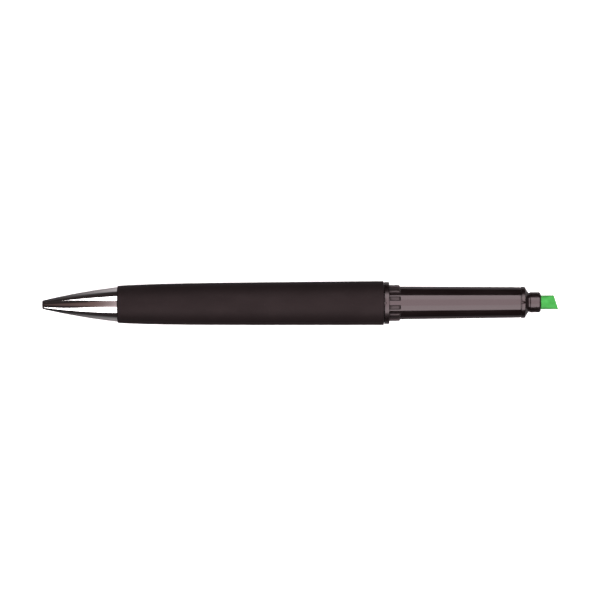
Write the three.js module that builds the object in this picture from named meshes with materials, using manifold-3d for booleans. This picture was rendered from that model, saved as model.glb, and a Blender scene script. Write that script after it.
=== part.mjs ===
// A two-ended twist pen: a retracting ballpoint in a chrome nose, and a chisel highlighter at the other end.
// Millimetres. The pen lies along X, nose towards -X and nib towards +X, on the plane z = 0.
// Stations are distances from the nose face along the pen's axis. Angles are about +X, counted from +Y.

import * as THREE from "three";
import { mergeVertices } from "three/addons/utils/BufferGeometryUtils.js";
import Module from "manifold-3d";

// ---- Lengths, nose face to nib point ----
const noseLength = 21.35;
const barrelLength = 76.05;
const ringLength = 1.45;
const moduleLength = 37.65;
const beadLength = 1.05;
const shoulderLength = 1.05;
const neckLength = 0.4;
const nibCollarLength = 3.15;
const nibReach = 5.05;

// ---- Chrome nose ----
const noseFaceRadius = 1.12;
const noseTipRadius = 1.36;
const noseTipRound = 0.74;
const noseMouthRadius = 4.95;
const noseBelly = 1.2;
const noseGuideWall = 0.32;
const noseChamberWall = 0.75;
const spigotRadius = 3.7;
const spigotLength = 7.5;
const spigotWall = 0.75;
const noseReliefInset = 2.5;

// ---- Barrel: a quick swell behind the front edge, then a slow straight taper to its widest at the rear ----
const barrelFrontRadius = 5.33;
const barrelSwell = 0.62;
const barrelSwellLength = 11;
const barrelTaper = 0.0044;
const barrelFrontEdge = 0.5;
const barrelRearEdge = 0.35;
const barrelBore = 3.9;
const frontLip = 0.5;

// ---- End ring and rear bush ----
const ringRadius = 6.0;
const ringEdge = 0.15;
const ringRecessRadius = 5.4;
const ringRecessDepth = 0.45;
const indexNotchLength = 0.6;
const indexNotchWidth = 0.5;
const indexNotchDepth = 0.35;
const bushSpigotLength = 9.4;
const bushSpigotExtra = 0.4;

// ---- Highlighter module ----
const moduleRearRadius = 4.69;
const moduleFrontRadius = 4.38;
const moduleWall = 0.75;
const seamGrooveDepth = 0.07;
const seamGrooveLength = 0.25;
const ribCount = 12;
const ribTopRadius = 5.25;
const ribRootWidth = 1.2;
const ribTopWidth = 0.8;
const ribLength = 3.4;
const ribSlope = 0.5;
const ribRearEdge = 0.15;
const beadRadius = 4.47;
const beadEdge = 0.12;
const neckRadius = 2.62;
const nibCollarRadius = 2.91;
const nibCollarEdge = 0.5;
const holderSpigotLength = 5;
const ventRadius = 0.3;

// ---- Nib and reservoir ----
const nibRadius = 2.01;
const nibSlantDegrees = 17.8;
const nibEdgeThickness = 0.8;
const nibFacetLength = 3.1;
const nibTailSoak = 4;
const nibTailChamfer = 0.4;
const wrapThickness = 0.18;
const reservoirEndRoom = 0.6;

// ---- Refill ----
const tubeRadius = 1.5;
const tubeWall = 0.35;
const pointStemRadius = 0.8;
const pointConeLength = 2.0;
const pointRimRadius = 0.46;
const pointChannelRadius = 0.3;
const pointSpigotLength = 3;
const flangeLength = 1.5;
const flangeStep = 0.25;
const pointBodyStep = 0.25;
const pointShoulderLength = 0.2;
const ballRadius = 0.35;
const ballProud = 0.2;
const ballGap = 0.04;
const retractedDepth = 1.0;
const inkFreeLength = 8;
const greaseLength = 3;

// ---- Return spring ----
const springLength = 10.1;
const springTurns = 9;
const springWireRadius = 0.2;
const springCloseTurnGap = 0.08;

// ---- Twist mechanism ----
const travel = 4.5;
const twistDegrees = 180;
const camRadius = 2.5;
const camGrooveDepth = 0.6;
const journalExtra = 0.5;
const lugRadius = 0.55;
const lugInset = 1.7;
const skirtWall = 0.85;
const skirtHold = 4.5;
const skirtRestRoom = 1;
const webThickness = 1.4;
const socketDepth = 5;
const socketWall = 0.8;
const webVentRadius = 0.5;
const housingWall = 0.55;
const housingHold = 13.5;
const bushWall = 0.5;
const clipThickness = 0.6;
const clipGap = 0.05;
const clipGapDegrees = 70;
const washerThickness = 0.35;
const holdCollarLength = 0.45;
const plugLength = 5;
const sealRadius = 0.3;

// ---- Clearances ----
const closeGap = 0.08;
const seam = 0.1;
const runningSeam = 0.3;
const fixedGap = 0.15;
const runningGap = 0.12;
const slidingGap = 0.2;
const lugGap = 0.15;
const camGap = 0.25;
const coilGap = 0.25;
const endGap = 0.3;

// ---- Facets round the pen ----
const outerSides = 32;
const innerSides = 24;
const smallSides = 12;

// ---- Stations ----
const barrelFront = noseLength + seam;
const barrelRear = barrelFront + barrelLength;
const ringFront = barrelRear + seam;
const ringRear = ringFront + ringLength;
const moduleRear = ringRear - ringRecessDepth + runningSeam;
const moduleFront = moduleRear + moduleLength;
const beadRear = moduleFront + seam;
const beadFront = beadRear + beadLength;
const neckRear = beadFront + shoulderLength;
const nibCollarRear = neckRear + neckLength;
const nibCollarFront = nibCollarRear + nibCollarLength;
const nibPoint = nibCollarFront + nibReach;

// ---- Radii that follow from a neighbour ----
const pointBodyRadius = tubeRadius - pointBodyStep;
const flangeRadius = tubeRadius + flangeStep;
const springRadius = pointBodyRadius + coilGap + springWireRadius;
const noseHoleRadius = pointStemRadius + fixedGap;
const guideRadius = pointBodyRadius + slidingGap;
const chamberRadius = springRadius + springWireRadius + slidingGap;
const frontBushBore = spigotRadius + fixedGap;
const frontBushRadius = frontBushBore + bushWall;
const frontPocketRadius = frontBushRadius + fixedGap;
const skirtBore = camRadius + camGap;
const skirtRadius = skirtBore + skirtWall;
const housingBore = skirtRadius + slidingGap;
const housingRadius = housingBore + housingWall;
const mechanismPocketRadius = housingRadius + fixedGap;
const bushSpigotRadius = housingRadius + bushSpigotExtra;
const bushPocketRadius = bushSpigotRadius + fixedGap;
const journalRadius = camRadius + journalExtra;
const journalBore = journalRadius + runningGap;
const sealGrooveRadius = journalRadius - 2 * sealRadius;
const moduleBore = moduleFrontRadius - moduleWall;
const plugRadius = moduleBore - runningGap;
const wrapRadius = moduleBore - fixedGap;
const reservoirRadius = wrapRadius - wrapThickness - closeGap;
const nibBore = nibRadius + runningGap;

// ---- Stations inside the pen ----
const bushFront = ringFront - bushSpigotLength;
const washerRear = bushFront - seam;
const washerFront = washerRear - washerThickness;
const clipRear = washerFront - seam;
const clipFront = clipRear - clipThickness;
const holdCollarRear = clipFront - clipGap;
const holdCollarFront = holdCollarRear - holdCollarLength;
const skirtRear = holdCollarFront - skirtRestRoom;
const skirtLength = travel + skirtHold;
const webRear = skirtRear - skirtLength;
const webFront = webRear - webThickness;
const followerFront = webFront - socketDepth;
const camFront = webRear + endGap;
const lugStation = skirtRear - lugInset;
const housingRear = bushFront - slidingGap;
const housingFront = housingRear - travel - housingHold;
const journalRear = moduleRear;
const plugFront = moduleRear + plugLength;
const sealStation = (bushFront + ringFront) / 2;
const holderSpigotRear = beadRear - holderSpigotLength;
const reservoirRear = plugFront + reservoirEndRoom;
const reservoirFront = holderSpigotRear - endGap;
const nibTail = reservoirFront - nibTailSoak;
const ballStation = retractedDepth + ballRadius;
const guideStation = stationOfNoseRadius(guideRadius + noseGuideWall);
const springSeat = stationOfNoseRadius(chamberRadius + noseChamberWall);
const pointStemRear = guideStation + travel + endGap;
const flangeFront = springSeat + springLength + 2 * fixedGap;
const flangeRear = flangeFront + flangeLength;
const pointRear = flangeRear + pointSpigotLength;
const tubeFront = flangeRear + seam;
const tubeRear = webFront - slidingGap;
const inkFront = pointRear + endGap;
const inkRear = tubeRear - inkFreeLength;
const greaseFront = inkRear + slidingGap;

const wasm = await Module();
wasm.setup();

// ---- Outlines ----

// The nose's outer radius at a station: nearly a straight cone, with a slight even belly.
function noseRadius(station) {
  const u = (station - noseTipRound) / (noseLength - noseTipRound);
  return noseTipRadius + (noseMouthRadius - noseTipRadius) * u + noseBelly * u * (1 - u);
}

// The station where the nose is a given radius, found by halving.
function stationOfNoseRadius(radius) {
  let low = noseTipRound;
  let high = noseLength;
  for (let step = 0; step < 40; step += 1) {
    const middle = (low + high) / 2;
    if (noseRadius(middle) < radius) low = middle;
    else high = middle;
  }
  return low;
}

// The barrel's outer radius at a station.
function barrelRadius(station) {
  const run = station - barrelFront - barrelFrontEdge;
  return barrelFrontRadius + barrelSwell * (1 - Math.exp(-run / barrelSwellLength)) + barrelTaper * run;
}

// Points of a quarter ellipse from (station0, radius0) to (station1, radius1). It leaves along the radius
// where startsRadial is true, and along the axis where it is not.
function quarterRound(station0, radius0, station1, radius1, startsRadial, steps = 3) {
  const points = [];
  for (let i = 0; i <= steps; i += 1) {
    const a = (i / steps) * (Math.PI / 2);
    const slow = 1 - Math.cos(a);
    const fast = Math.sin(a);
    const along = startsRadial ? slow : fast;
    const out = startsRadial ? fast : slow;
    points.push([station0 + (station1 - station0) * along, radius0 + (radius1 - radius0) * out]);
  }
  return points;
}

// ---- Solids ----

// A closed three.js geometry as a solid, without the flat triangles that meet the axis.
function solidOf(geometry) {
  const bare = new THREE.BufferGeometry();
  bare.setAttribute("position", geometry.getAttribute("position"));
  bare.setIndex(geometry.index);
  const merged = mergeVertices(bare, 1e-4);
  const corners = merged.index.array;
  const kept = [];
  for (let i = 0; i < corners.length; i += 3) {
    const [a, b, c] = corners.slice(i, i + 3);
    if (a !== b && b !== c && c !== a) kept.push(a, b, c);
  }
  const vertProperties = merged.getAttribute("position").array;
  return new wasm.Manifold(new wasm.Mesh({ numProp: 3, vertProperties, triVerts: new Uint32Array(kept) }));
}

// A round piece from its half section, a closed list of [station, radius] that runs from the front's inner
// edge out and back along the outside. Radii are measured to the flats, and a flat faces each way of Y and Z.
function turned(section, sides) {
  const toFlat = 1 / Math.cos(Math.PI / sides);
  const profile = section.map(([station, radius]) => new THREE.Vector2(radius * toFlat, station));
  profile.push(profile[0].clone());
  return solidOf(new THREE.LatheGeometry(profile, sides, Math.PI / sides).rotateZ(-Math.PI / 2));
}

// A bar bent round the axis: it runs from one angle to another, between two radii, and climbs along the
// axis by a given length for each radian.
function bentBar({ station, width, innerRadius, outerRadius, from, to, climb = 0, steps }) {
  const depth = outerRadius - innerRadius;
  const sweep = to - from;
  const bar = new THREE.BoxGeometry(width, depth, sweep, 1, 1, steps);
  const place = bar.getAttribute("position");
  for (let i = 0; i < place.count; i += 1) {
    const turn = place.getZ(i) + sweep / 2;
    const radius = place.getY(i) + depth / 2 + innerRadius;
    const along = station + place.getX(i) + climb * turn;
    place.setXYZ(i, along, radius * Math.cos(from + turn), radius * Math.sin(from + turn));
  }
  return solidOf(bar);
}

// A round bar from one height to another, standing along Z at a station.
function uprightPin(station, radius, bottom, top) {
  const pin = new THREE.CylinderGeometry(radius, radius, top - bottom, smallSides);
  return solidOf(pin.rotateX(Math.PI / 2).translate(station, 0, (bottom + top) / 2));
}

// A flat-sided bar with round ends, cut right through the pen along Z.
function throughSlot(front, rear, halfWidth, reach) {
  const outline = new THREE.Shape();
  outline.absarc(rear - halfWidth, 0, halfWidth, -Math.PI / 2, Math.PI / 2);
  outline.absarc(front + halfWidth, 0, halfWidth, Math.PI / 2, (3 * Math.PI) / 2);
  const bar = new THREE.ExtrudeGeometry(outline, { depth: 2 * reach, bevelEnabled: false, curveSegments: 5 });
  return solidOf(bar.translate(0, 0, -reach));
}

// ---- Barrel group ----

function noseCone() {
  const stations = [0.1, 0.22, 0.34, 0.46, 0.58, 0.7, 0.82, 0.92, 1];
  const flank = stations.map((share) => noseTipRound + share * (noseLength - noseTipRound));
  return turned(
    [
      [0, noseHoleRadius],
      ...quarterRound(0, noseFaceRadius, noseTipRound, noseTipRadius, true),
      ...flank.map((station) => [station, noseRadius(station)]),
      [noseLength, spigotRadius],
      [noseLength + spigotLength, spigotRadius],
      [noseLength + spigotLength, spigotRadius - spigotWall],
      [noseLength - noseReliefInset, spigotRadius - spigotWall],
      [noseLength - noseReliefInset, chamberRadius],
      [springSeat, chamberRadius],
      [springSeat, guideRadius],
      [guideStation, guideRadius],
      [guideStation, noseHoleRadius],
    ],
    outerSides,
  );
}

function frontBush() {
  const front = barrelFront + seam;
  const rear = noseLength + spigotLength + slidingGap;
  return turned(
    [
      [front, frontBushBore],
      [front, frontBushRadius],
      [rear, frontBushRadius],
      [rear, frontBushBore],
    ],
    outerSides,
  );
}

function barrel() {
  const frontPocketRear = noseLength + spigotLength + endGap;
  const mechanismPocketFront = housingFront - seam;
  const bushPocketFront = bushFront - seam;
  const swellFront = barrelFront + barrelFrontEdge;
  const swellStops = [4, 9, 15, 22, 45, 60].map((run) => (run / 75) * (barrelLength - barrelFrontEdge));
  const edgeFront = barrelRear - barrelRearEdge;
  const rearFaceRadius = barrelRadius(edgeFront) - barrelRearEdge;
  return turned(
    [
      [barrelFront, frontPocketRadius],
      ...quarterRound(barrelFront, frontPocketRadius + frontLip, swellFront, barrelFrontRadius, true),
      ...swellStops.map((run) => [swellFront + run, barrelRadius(swellFront + run)]),
      ...quarterRound(edgeFront, barrelRadius(edgeFront), barrelRear, rearFaceRadius, false),
      [barrelRear, bushPocketRadius],
      [bushPocketFront, bushPocketRadius],
      [bushPocketFront, mechanismPocketRadius],
      [mechanismPocketFront, mechanismPocketRadius],
      [mechanismPocketFront, barrelBore],
      [frontPocketRear, barrelBore],
      [frontPocketRear, frontPocketRadius],
    ],
    outerSides,
  );
}

function mechanismHousing() {
  const tube = turned(
    [
      [housingFront, housingBore],
      [housingFront, housingRadius],
      [housingRear, housingRadius],
      [housingRear, housingBore],
    ],
    innerSides,
  );
  const slotHalfWidth = lugRadius + lugGap;
  const slotFront = lugStation - travel - slotHalfWidth;
  const slotRear = lugStation + slotHalfWidth;
  return tube.subtract(throughSlot(slotFront, slotRear, slotHalfWidth, 2 * housingRadius));
}

// The bearing's flange is the pen's end ring. A small index notch in its front edge marks the top.
function rearBush() {
  const bush = turned(
    [
      [bushFront, journalBore],
      [bushFront, bushSpigotRadius],
      [ringFront, bushSpigotRadius],
      [ringFront, ringRadius - ringEdge],
      [ringFront + ringEdge, ringRadius],
      [ringRear - ringEdge, ringRadius],
      [ringRear, ringRadius - ringEdge],
      [ringRear, ringRecessRadius],
      [ringRear - ringRecessDepth, ringRecessRadius],
      [ringRear - ringRecessDepth, journalBore],
    ],
    outerSides,
  );
  const notchReach = indexNotchLength + seam;
  const notch = new THREE.BoxGeometry(notchReach, indexNotchWidth, 2 * indexNotchDepth);
  notch.translate(ringFront + indexNotchLength - notchReach / 2, 0, ringRadius);
  return bush.subtract(solidOf(notch));
}

// The spring's centre line: a closed turn at each end, and open turns between.
class SpringLine extends THREE.Curve {
  getPoint(share, target = new THREE.Vector3()) {
    const turn = share * springTurns;
    const closedPitch = 2 * springWireRadius + springCloseTurnGap;
    const usable = springLength - 2 * springWireRadius;
    const openPitch = (usable - 2 * closedPitch) / (springTurns - 2);
    const open = Math.min(Math.max(turn - 1, 0), springTurns - 2);
    const closed = turn - open;
    const along = springWireRadius + closed * closedPitch + open * openPitch;
    const angle = turn * 2 * Math.PI;
    return target.set(
      springSeat + fixedGap + along,
      springRadius * Math.cos(angle),
      springRadius * Math.sin(angle),
    );
  }
}

function returnSpring() {
  const wire = new THREE.Shape();
  wire.absarc(0, 0, springWireRadius, 0, 2 * Math.PI);
  const options = { steps: springTurns * 10, extrudePath: new SpringLine(), curveSegments: 3 };
  return solidOf(new THREE.ExtrudeGeometry(wire, options));
}

// ---- Highlighter module ----

// One straight rib of the collar, its root sunk into the shell, before its ends are trimmed.
function collarRib(angle) {
  const root = moduleBore + moduleWall / 2;
  const outline = new THREE.Shape([
    new THREE.Vector2(-ribRootWidth / 2, root),
    new THREE.Vector2(ribRootWidth / 2, root),
    new THREE.Vector2(ribRootWidth / 2, moduleRearRadius),
    new THREE.Vector2(ribTopWidth / 2, ribTopRadius),
    new THREE.Vector2(-ribTopWidth / 2, ribTopRadius),
    new THREE.Vector2(-ribRootWidth / 2, moduleRearRadius),
  ]);
  const bar = new THREE.ExtrudeGeometry(outline, { depth: ribLength, bevelEnabled: false });
  bar.rotateY(Math.PI / 2).rotateX(Math.PI / 2);
  return solidOf(bar.rotateX(angle).translate(moduleRear, 0, 0));
}

function highlighterBody() {
  const ribFront = moduleRear + ribLength;
  const grooveRear = moduleFront - seamGrooveLength;
  const grooveRadius = moduleFrontRadius - seamGrooveDepth;
  const shell = turned(
    [
      [moduleRear, moduleBore],
      [moduleRear, moduleRearRadius],
      [ribFront, moduleRearRadius],
      [grooveRear - seamGrooveDepth, moduleFrontRadius],
      [grooveRear, grooveRadius],
      [moduleFront, grooveRadius],
      [moduleFront, moduleBore],
    ],
    outerSides,
  );
  const ribReach = ribTopRadius + endGap;
  const ribEnvelope = turned(
    [
      [moduleRear, moduleBore],
      [moduleRear, ribTopRadius - ribRearEdge],
      [moduleRear + ribRearEdge, ribTopRadius],
      [moduleRear + ribRearEdge, ribReach],
      [ribFront - ribSlope, ribReach],
      [ribFront - ribSlope, ribTopRadius],
      [ribFront, moduleRearRadius - closeGap],
      [ribFront, moduleBore],
    ],
    outerSides,
  );
  let solid = shell;
  for (let i = 0; i < ribCount; i += 1) {
    const angle = ((i + 0.5) * 2 * Math.PI) / ribCount;
    solid = solid.add(collarRib(angle).intersect(ribEnvelope));
  }
  return solid;
}

function nibHolder() {
  const collarEdgeRear = nibCollarFront - nibCollarEdge;
  const body = turned(
    [
      [holderSpigotRear, nibBore],
      [holderSpigotRear, plugRadius],
      [beadRear, plugRadius],
      [beadRear, beadRadius - beadEdge],
      [beadRear + beadEdge, beadRadius],
      [beadFront - beadEdge, beadRadius],
      [beadFront, beadRadius - beadEdge],
      [neckRear, neckRadius],
      [nibCollarRear, neckRadius],
      [nibCollarRear, nibCollarRadius],
      ...quarterRound(collarEdgeRear, nibCollarRadius, nibCollarFront, nibCollarRadius - nibCollarEdge, false),
      [nibCollarFront, nibBore],
    ],
    outerSides,
  );
  const ventStation = beadFront - ventRadius + seam;
  return body.subtract(uprightPin(ventStation, ventRadius, nibBore - slidingGap, 2 * beadRadius));
}

// A felt rod whose end is cut to a wedge with a slanted edge.
function highlighterNib() {
  const rod = turned(
    [
      [nibTail, 0],
      [nibTail, nibRadius - nibTailChamfer],
      [nibTail + nibTailChamfer, nibRadius],
      [nibPoint, nibRadius],
      [nibPoint, 0],
    ],
    innerSides,
  );
  const slant = THREE.MathUtils.degToRad(nibSlantDegrees);
  const edgeHalf = nibEdgeThickness / 2;
  const facetSlope = (nibRadius - edgeHalf) / (nibFacetLength * Math.cos(slant));
  const reach = nibPoint - nibTail + nibRadius;
  const high = edgeHalf + facetSlope * reach;
  const wedge = new THREE.Shape([
    new THREE.Vector2(0, -edgeHalf),
    new THREE.Vector2(0, edgeHalf),
    new THREE.Vector2(-reach, high),
    new THREE.Vector2(-reach, -high),
  ]);
  const cutter = new THREE.ExtrudeGeometry(wedge, { depth: 8 * nibRadius, bevelEnabled: false });
  cutter.translate(0, 0, -4 * nibRadius).rotateX(Math.PI / 2).rotateZ(slant);
  cutter.translate(nibPoint - nibRadius * Math.tan(slant), 0, 0);
  return rod.intersect(solidOf(cutter));
}

function inkReservoir() {
  const soakRadius = nibRadius + fixedGap;
  const soakRear = nibTail - slidingGap;
  return turned(
    [
      [reservoirRear, 0],
      [reservoirRear, reservoirRadius],
      [reservoirFront, reservoirRadius],
      [reservoirFront, soakRadius],
      [soakRear, soakRadius],
      [soakRear, 0],
    ],
    innerSides,
  );
}

function reservoirWrap() {
  return turned(
    [
      [reservoirRear, wrapRadius - wrapThickness],
      [reservoirRear, wrapRadius],
      [reservoirFront, wrapRadius],
      [reservoirFront, wrapRadius - wrapThickness],
    ],
    innerSides,
  );
}

// ---- Twist mechanism ----

// Plug in the module, journal in the bush, and a cam with two helical grooves.
function driveSpindle() {
  const clipGrooveRear = clipRear + clipGap;
  const sealHalf = sealRadius + fixedGap;
  const body = turned(
    [
      [camFront, 0],
      [camFront, camRadius],
      [holdCollarFront, camRadius],
      [holdCollarFront, journalRadius],
      [holdCollarRear, journalRadius],
      [holdCollarRear, camRadius],
      [clipGrooveRear, camRadius],
      [clipGrooveRear, journalRadius],
      [sealStation - sealHalf, journalRadius],
      [sealStation - sealHalf, sealGrooveRadius],
      [sealStation + sealHalf, sealGrooveRadius],
      [sealStation + sealHalf, journalRadius],
      [journalRear, journalRadius],
      [journalRear, plugRadius],
      [plugFront, plugRadius],
      [plugFront, 0],
    ],
    innerSides,
  );
  const floorRadius = camRadius - camGrooveDepth;
  const climb = travel / THREE.MathUtils.degToRad(twistDegrees);
  const steepest = Math.atan(climb / floorRadius);
  const overrun = (lugRadius + 2 * lugGap) / floorRadius;
  const sweep = THREE.MathUtils.degToRad(twistDegrees) + 2 * overrun;
  let solid = body;
  for (const lugAngle of [Math.PI / 2, -Math.PI / 2]) {
    const groove = bentBar({
      station: lugStation + climb * overrun - climb * sweep,
      width: (2 * (lugRadius + lugGap)) / Math.cos(steepest),
      innerRadius: floorRadius,
      outerRadius: camRadius + camGap,
      from: lugAngle + overrun - sweep,
      to: lugAngle + overrun,
      climb,
      steps: 18,
    });
    solid = solid.subtract(groove);
  }
  return solid;
}

function spindleSeal() {
  const middle = sealGrooveRadius + sealRadius + closeGap;
  const ring = new THREE.TorusGeometry(middle, sealRadius, 8, innerSides);
  return solidOf(ring.rotateY(Math.PI / 2).translate(sealStation, 0, 0));
}

function retainingClip() {
  const gap = THREE.MathUtils.degToRad(clipGapDegrees);
  return bentBar({
    station: (clipFront + clipRear) / 2,
    width: clipThickness,
    innerRadius: camRadius + runningGap,
    outerRadius: housingBore - fixedGap,
    from: gap / 2,
    to: 2 * Math.PI - gap / 2,
    steps: 20,
  });
}

function thrustWasher() {
  return turned(
    [
      [washerFront, journalBore],
      [washerFront, housingBore - fixedGap],
      [washerRear, housingBore - fixedGap],
      [washerRear, journalBore],
    ],
    innerSides,
  );
}

// The carriage: a socket for the refill, and a skirt round the cam with two lugs, each reaching into a
// groove of the cam and out into a slot of the housing.
function camFollower() {
  const socketRadius = tubeRadius + seam;
  const bossRadius = socketRadius + socketWall;
  const body = turned(
    [
      [followerFront, socketRadius],
      [followerFront, bossRadius],
      [webFront, bossRadius],
      [webFront + slidingGap, skirtRadius],
      [skirtRear, skirtRadius],
      [skirtRear, skirtBore],
      [webRear, skirtBore],
      [webRear, webVentRadius],
      [webFront, webVentRadius],
      [webFront, socketRadius],
    ],
    innerSides,
  );
  const lugInner = camRadius - camGrooveDepth + lugGap;
  const lugOuter = housingRadius - lugGap;
  const upper = uprightPin(lugStation, lugRadius, lugInner, lugOuter);
  const lower = uprightPin(lugStation, lugRadius, -lugOuter, -lugInner);
  return body.add(upper).add(lower);
}

// ---- Refill ----

function refillPoint() {
  const rim = retractedDepth + ballProud;
  const seatRadius = ballRadius + ballGap;
  const seatRear = ballStation + ballRadius + seam;
  return turned(
    [
      [rim, seatRadius],
      [rim, pointRimRadius],
      [rim + pointConeLength, pointStemRadius],
      [pointStemRear, pointStemRadius],
      [pointStemRear + pointShoulderLength, pointBodyRadius],
      [flangeFront, pointBodyRadius],
      [flangeFront, flangeRadius],
      [flangeRear, flangeRadius],
      [flangeRear, tubeRadius - tubeWall - seam],
      [pointRear, tubeRadius - tubeWall - seam],
      [pointRear, pointChannelRadius],
      [seatRear, pointChannelRadius],
      [seatRear, seatRadius],
    ],
    innerSides,
  );
}

function writingBall() {
  return solidOf(new THREE.SphereGeometry(ballRadius, smallSides, 8).translate(ballStation, 0, 0));
}

function refillTube() {
  return turned(
    [
      [tubeFront, tubeRadius - tubeWall],
      [tubeFront, tubeRadius],
      [tubeRear, tubeRadius],
      [tubeRear, tubeRadius - tubeWall],
    ],
    innerSides,
  );
}

function refillColumn(front, rear) {
  const radius = tubeRadius - tubeWall - seam;
  return turned(
    [
      [front, 0],
      [front, radius],
      [rear, radius],
      [rear, 0],
    ],
    smallSides,
  );
}

// ---- Materials ----

function finish(color, roughness, metalness = 0) {
  return new THREE.MeshStandardMaterial({ color, roughness, metalness });
}

const chrome = finish(0xd9d6d7, 0.06, 1);
const brass = finish(0xb8975a, 0.3, 1);
const steel = finish(0xa9abad, 0.28, 1);
const softBlack = finish(0x2c2526, 0.72);
const glossBlack = finish(0x161112, 0.12);
const ivoryPlastic = finish(0xd8d4c8, 0.45);
const greyPlastic = finish(0x8b8d8f, 0.5);
const rubber = finish(0x1b1b1b, 0.8);
const greenFelt = finish(0x45c255, 0.85);
const greenFibre = finish(0x6fd87a, 0.9);
const clearFilm = finish(0xe6ece6, 0.25);
const blueInk = finish(0x14213f, 0.35);
const grease = finish(0xd9cf9a, 0.4);

// ---- Assembly ----

const pen = new THREE.Group();
pen.name = "twist_pen_with_highlighter";
pen.position.set(-nibPoint / 2, 0, barrelRadius(barrelRear - barrelRearEdge));

function place(name, solid, material) {
  const { vertProperties, triVerts } = solid.getMesh();
  const geometry = new THREE.BufferGeometry();
  geometry.setAttribute("position", new THREE.BufferAttribute(vertProperties, 3));
  geometry.setIndex(new THREE.BufferAttribute(triVerts, 1));
  geometry.computeVertexNormals();
  const mesh = new THREE.Mesh(geometry, material);
  mesh.name = name;
  pen.add(mesh);
}

place("nose_cone", noseCone(), chrome);
place("front_bush", frontBush(), brass);
place("barrel", barrel(), softBlack);
place("mechanism_housing", mechanismHousing(), ivoryPlastic);
place("rear_bush", rearBush(), glossBlack);
place("return_spring", returnSpring(), steel);

place("highlighter_body", highlighterBody(), glossBlack);
place("nib_holder", nibHolder(), glossBlack);
place("highlighter_nib", highlighterNib(), greenFelt);
place("ink_reservoir", inkReservoir(), greenFibre);
place("reservoir_wrap", reservoirWrap(), clearFilm);
place("drive_spindle", driveSpindle(), greyPlastic);
place("spindle_o_ring", spindleSeal(), rubber);
place("retaining_clip", retainingClip(), steel);
place("thrust_washer", thrustWasher(), brass);

place("cam_follower", camFollower(), ivoryPlastic);
place("refill_tube", refillTube(), ivoryPlastic);
place("refill_point", refillPoint(), brass);
place("refill_ink", refillColumn(inkFront, inkRear), blueInk);
place("refill_grease_plug", refillColumn(greaseFront, greaseFront + greaseLength), grease);
place("writing_ball", writingBall(), steel);

export default pen;
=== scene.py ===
import math

import bmesh
import bpy
from mathutils import Matrix, Vector, noise

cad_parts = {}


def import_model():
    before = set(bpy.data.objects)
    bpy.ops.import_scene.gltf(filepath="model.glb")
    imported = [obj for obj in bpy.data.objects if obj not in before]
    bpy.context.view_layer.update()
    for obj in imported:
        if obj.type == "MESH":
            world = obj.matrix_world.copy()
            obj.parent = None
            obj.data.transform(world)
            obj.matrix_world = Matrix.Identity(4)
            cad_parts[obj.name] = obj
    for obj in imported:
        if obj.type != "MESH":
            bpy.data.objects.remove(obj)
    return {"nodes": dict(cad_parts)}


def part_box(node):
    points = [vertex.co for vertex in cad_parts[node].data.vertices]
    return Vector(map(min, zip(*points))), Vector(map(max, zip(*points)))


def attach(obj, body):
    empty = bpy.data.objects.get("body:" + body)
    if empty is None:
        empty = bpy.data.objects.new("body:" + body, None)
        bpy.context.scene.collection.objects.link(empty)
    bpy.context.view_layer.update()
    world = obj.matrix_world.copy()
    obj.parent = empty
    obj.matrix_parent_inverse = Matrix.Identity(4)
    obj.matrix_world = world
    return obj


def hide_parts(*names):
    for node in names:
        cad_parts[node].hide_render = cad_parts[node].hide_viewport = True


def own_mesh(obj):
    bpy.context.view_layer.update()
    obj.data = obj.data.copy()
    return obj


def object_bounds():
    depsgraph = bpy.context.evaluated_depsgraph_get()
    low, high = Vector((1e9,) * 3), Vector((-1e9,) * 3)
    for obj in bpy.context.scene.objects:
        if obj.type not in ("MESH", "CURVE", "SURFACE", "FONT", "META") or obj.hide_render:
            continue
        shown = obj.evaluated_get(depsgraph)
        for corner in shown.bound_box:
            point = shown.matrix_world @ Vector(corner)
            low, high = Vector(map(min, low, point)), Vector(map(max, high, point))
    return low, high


# A two-ended twist pen lying on a pale floor, seen from straight above.
# Outlines are in millimetres. A station is the distance from the nose face along the pen's axis.

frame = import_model()
cad_low, cad_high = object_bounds()

MM = 0.001
FACE_X = cad_low.x
AXIS_Z = (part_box("barrel")[0].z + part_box("barrel")[1].z) / 2
PEN_LENGTH = (cad_high.x - cad_low.x) / MM

# ---- Facets round the pen ----
OUTER_SIDES = 160
INNER_SIDES = 96
SMALL_SIDES = 48
FILLET_STEPS = 5

# ---- Chrome nose ----
SEAM = 0.1
NOSE_SEAM = 0.01
NOSE_TIP_RADIUS = 1.21
NOSE_TIP_ROUND = 0.18
NOSE_MOUTH_RADIUS = 4.95
NOSE_BELLY = 1.2
NOSE_HOLE_RADIUS = 0.95
NOSE_GUIDE_RADIUS = 1.45
NOSE_GUIDE_STATION = 2.54
NOSE_CHAMBER_RADIUS = 2.1
NOSE_SPIGOT_RADIUS = 3.7
NOSE_SPIGOT_WALL = 0.75
NOSE_RELIEF_INSET = 2.5
FIXED_GAP = 0.15

# ---- Barrel ----
BARREL_FRONT_EDGE = 0.5
BARREL_FRONT_FACE_RADIUS = 5.0
BARREL_FRONT_RADIUS = 5.33
BARREL_SWELL = 0.62
BARREL_SWELL_LENGTH = 11
BARREL_TAPER = 0.0044
BARREL_REAR_EDGE = 0.35
BARREL_BORE = 3.9
FRONT_POCKET_RADIUS = 4.5
FRONT_POCKET_LENGTH = 7.7
BUSH_POCKET_RADIUS = 4.9

# ---- End ring and bush ----
RING_EDGE = 0.22
RING_RECESS_RADIUS = 5.4
RING_RECESS_DEPTH = 0.45
INDEX_NOTCH_LENGTH = 0.6
INDEX_NOTCH_WIDTH = 0.5
INDEX_NOTCH_DEPTH = 0.35
BUSH_SPIGOT_RADIUS = 4.75
JOURNAL_BORE = 3.12

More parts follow.
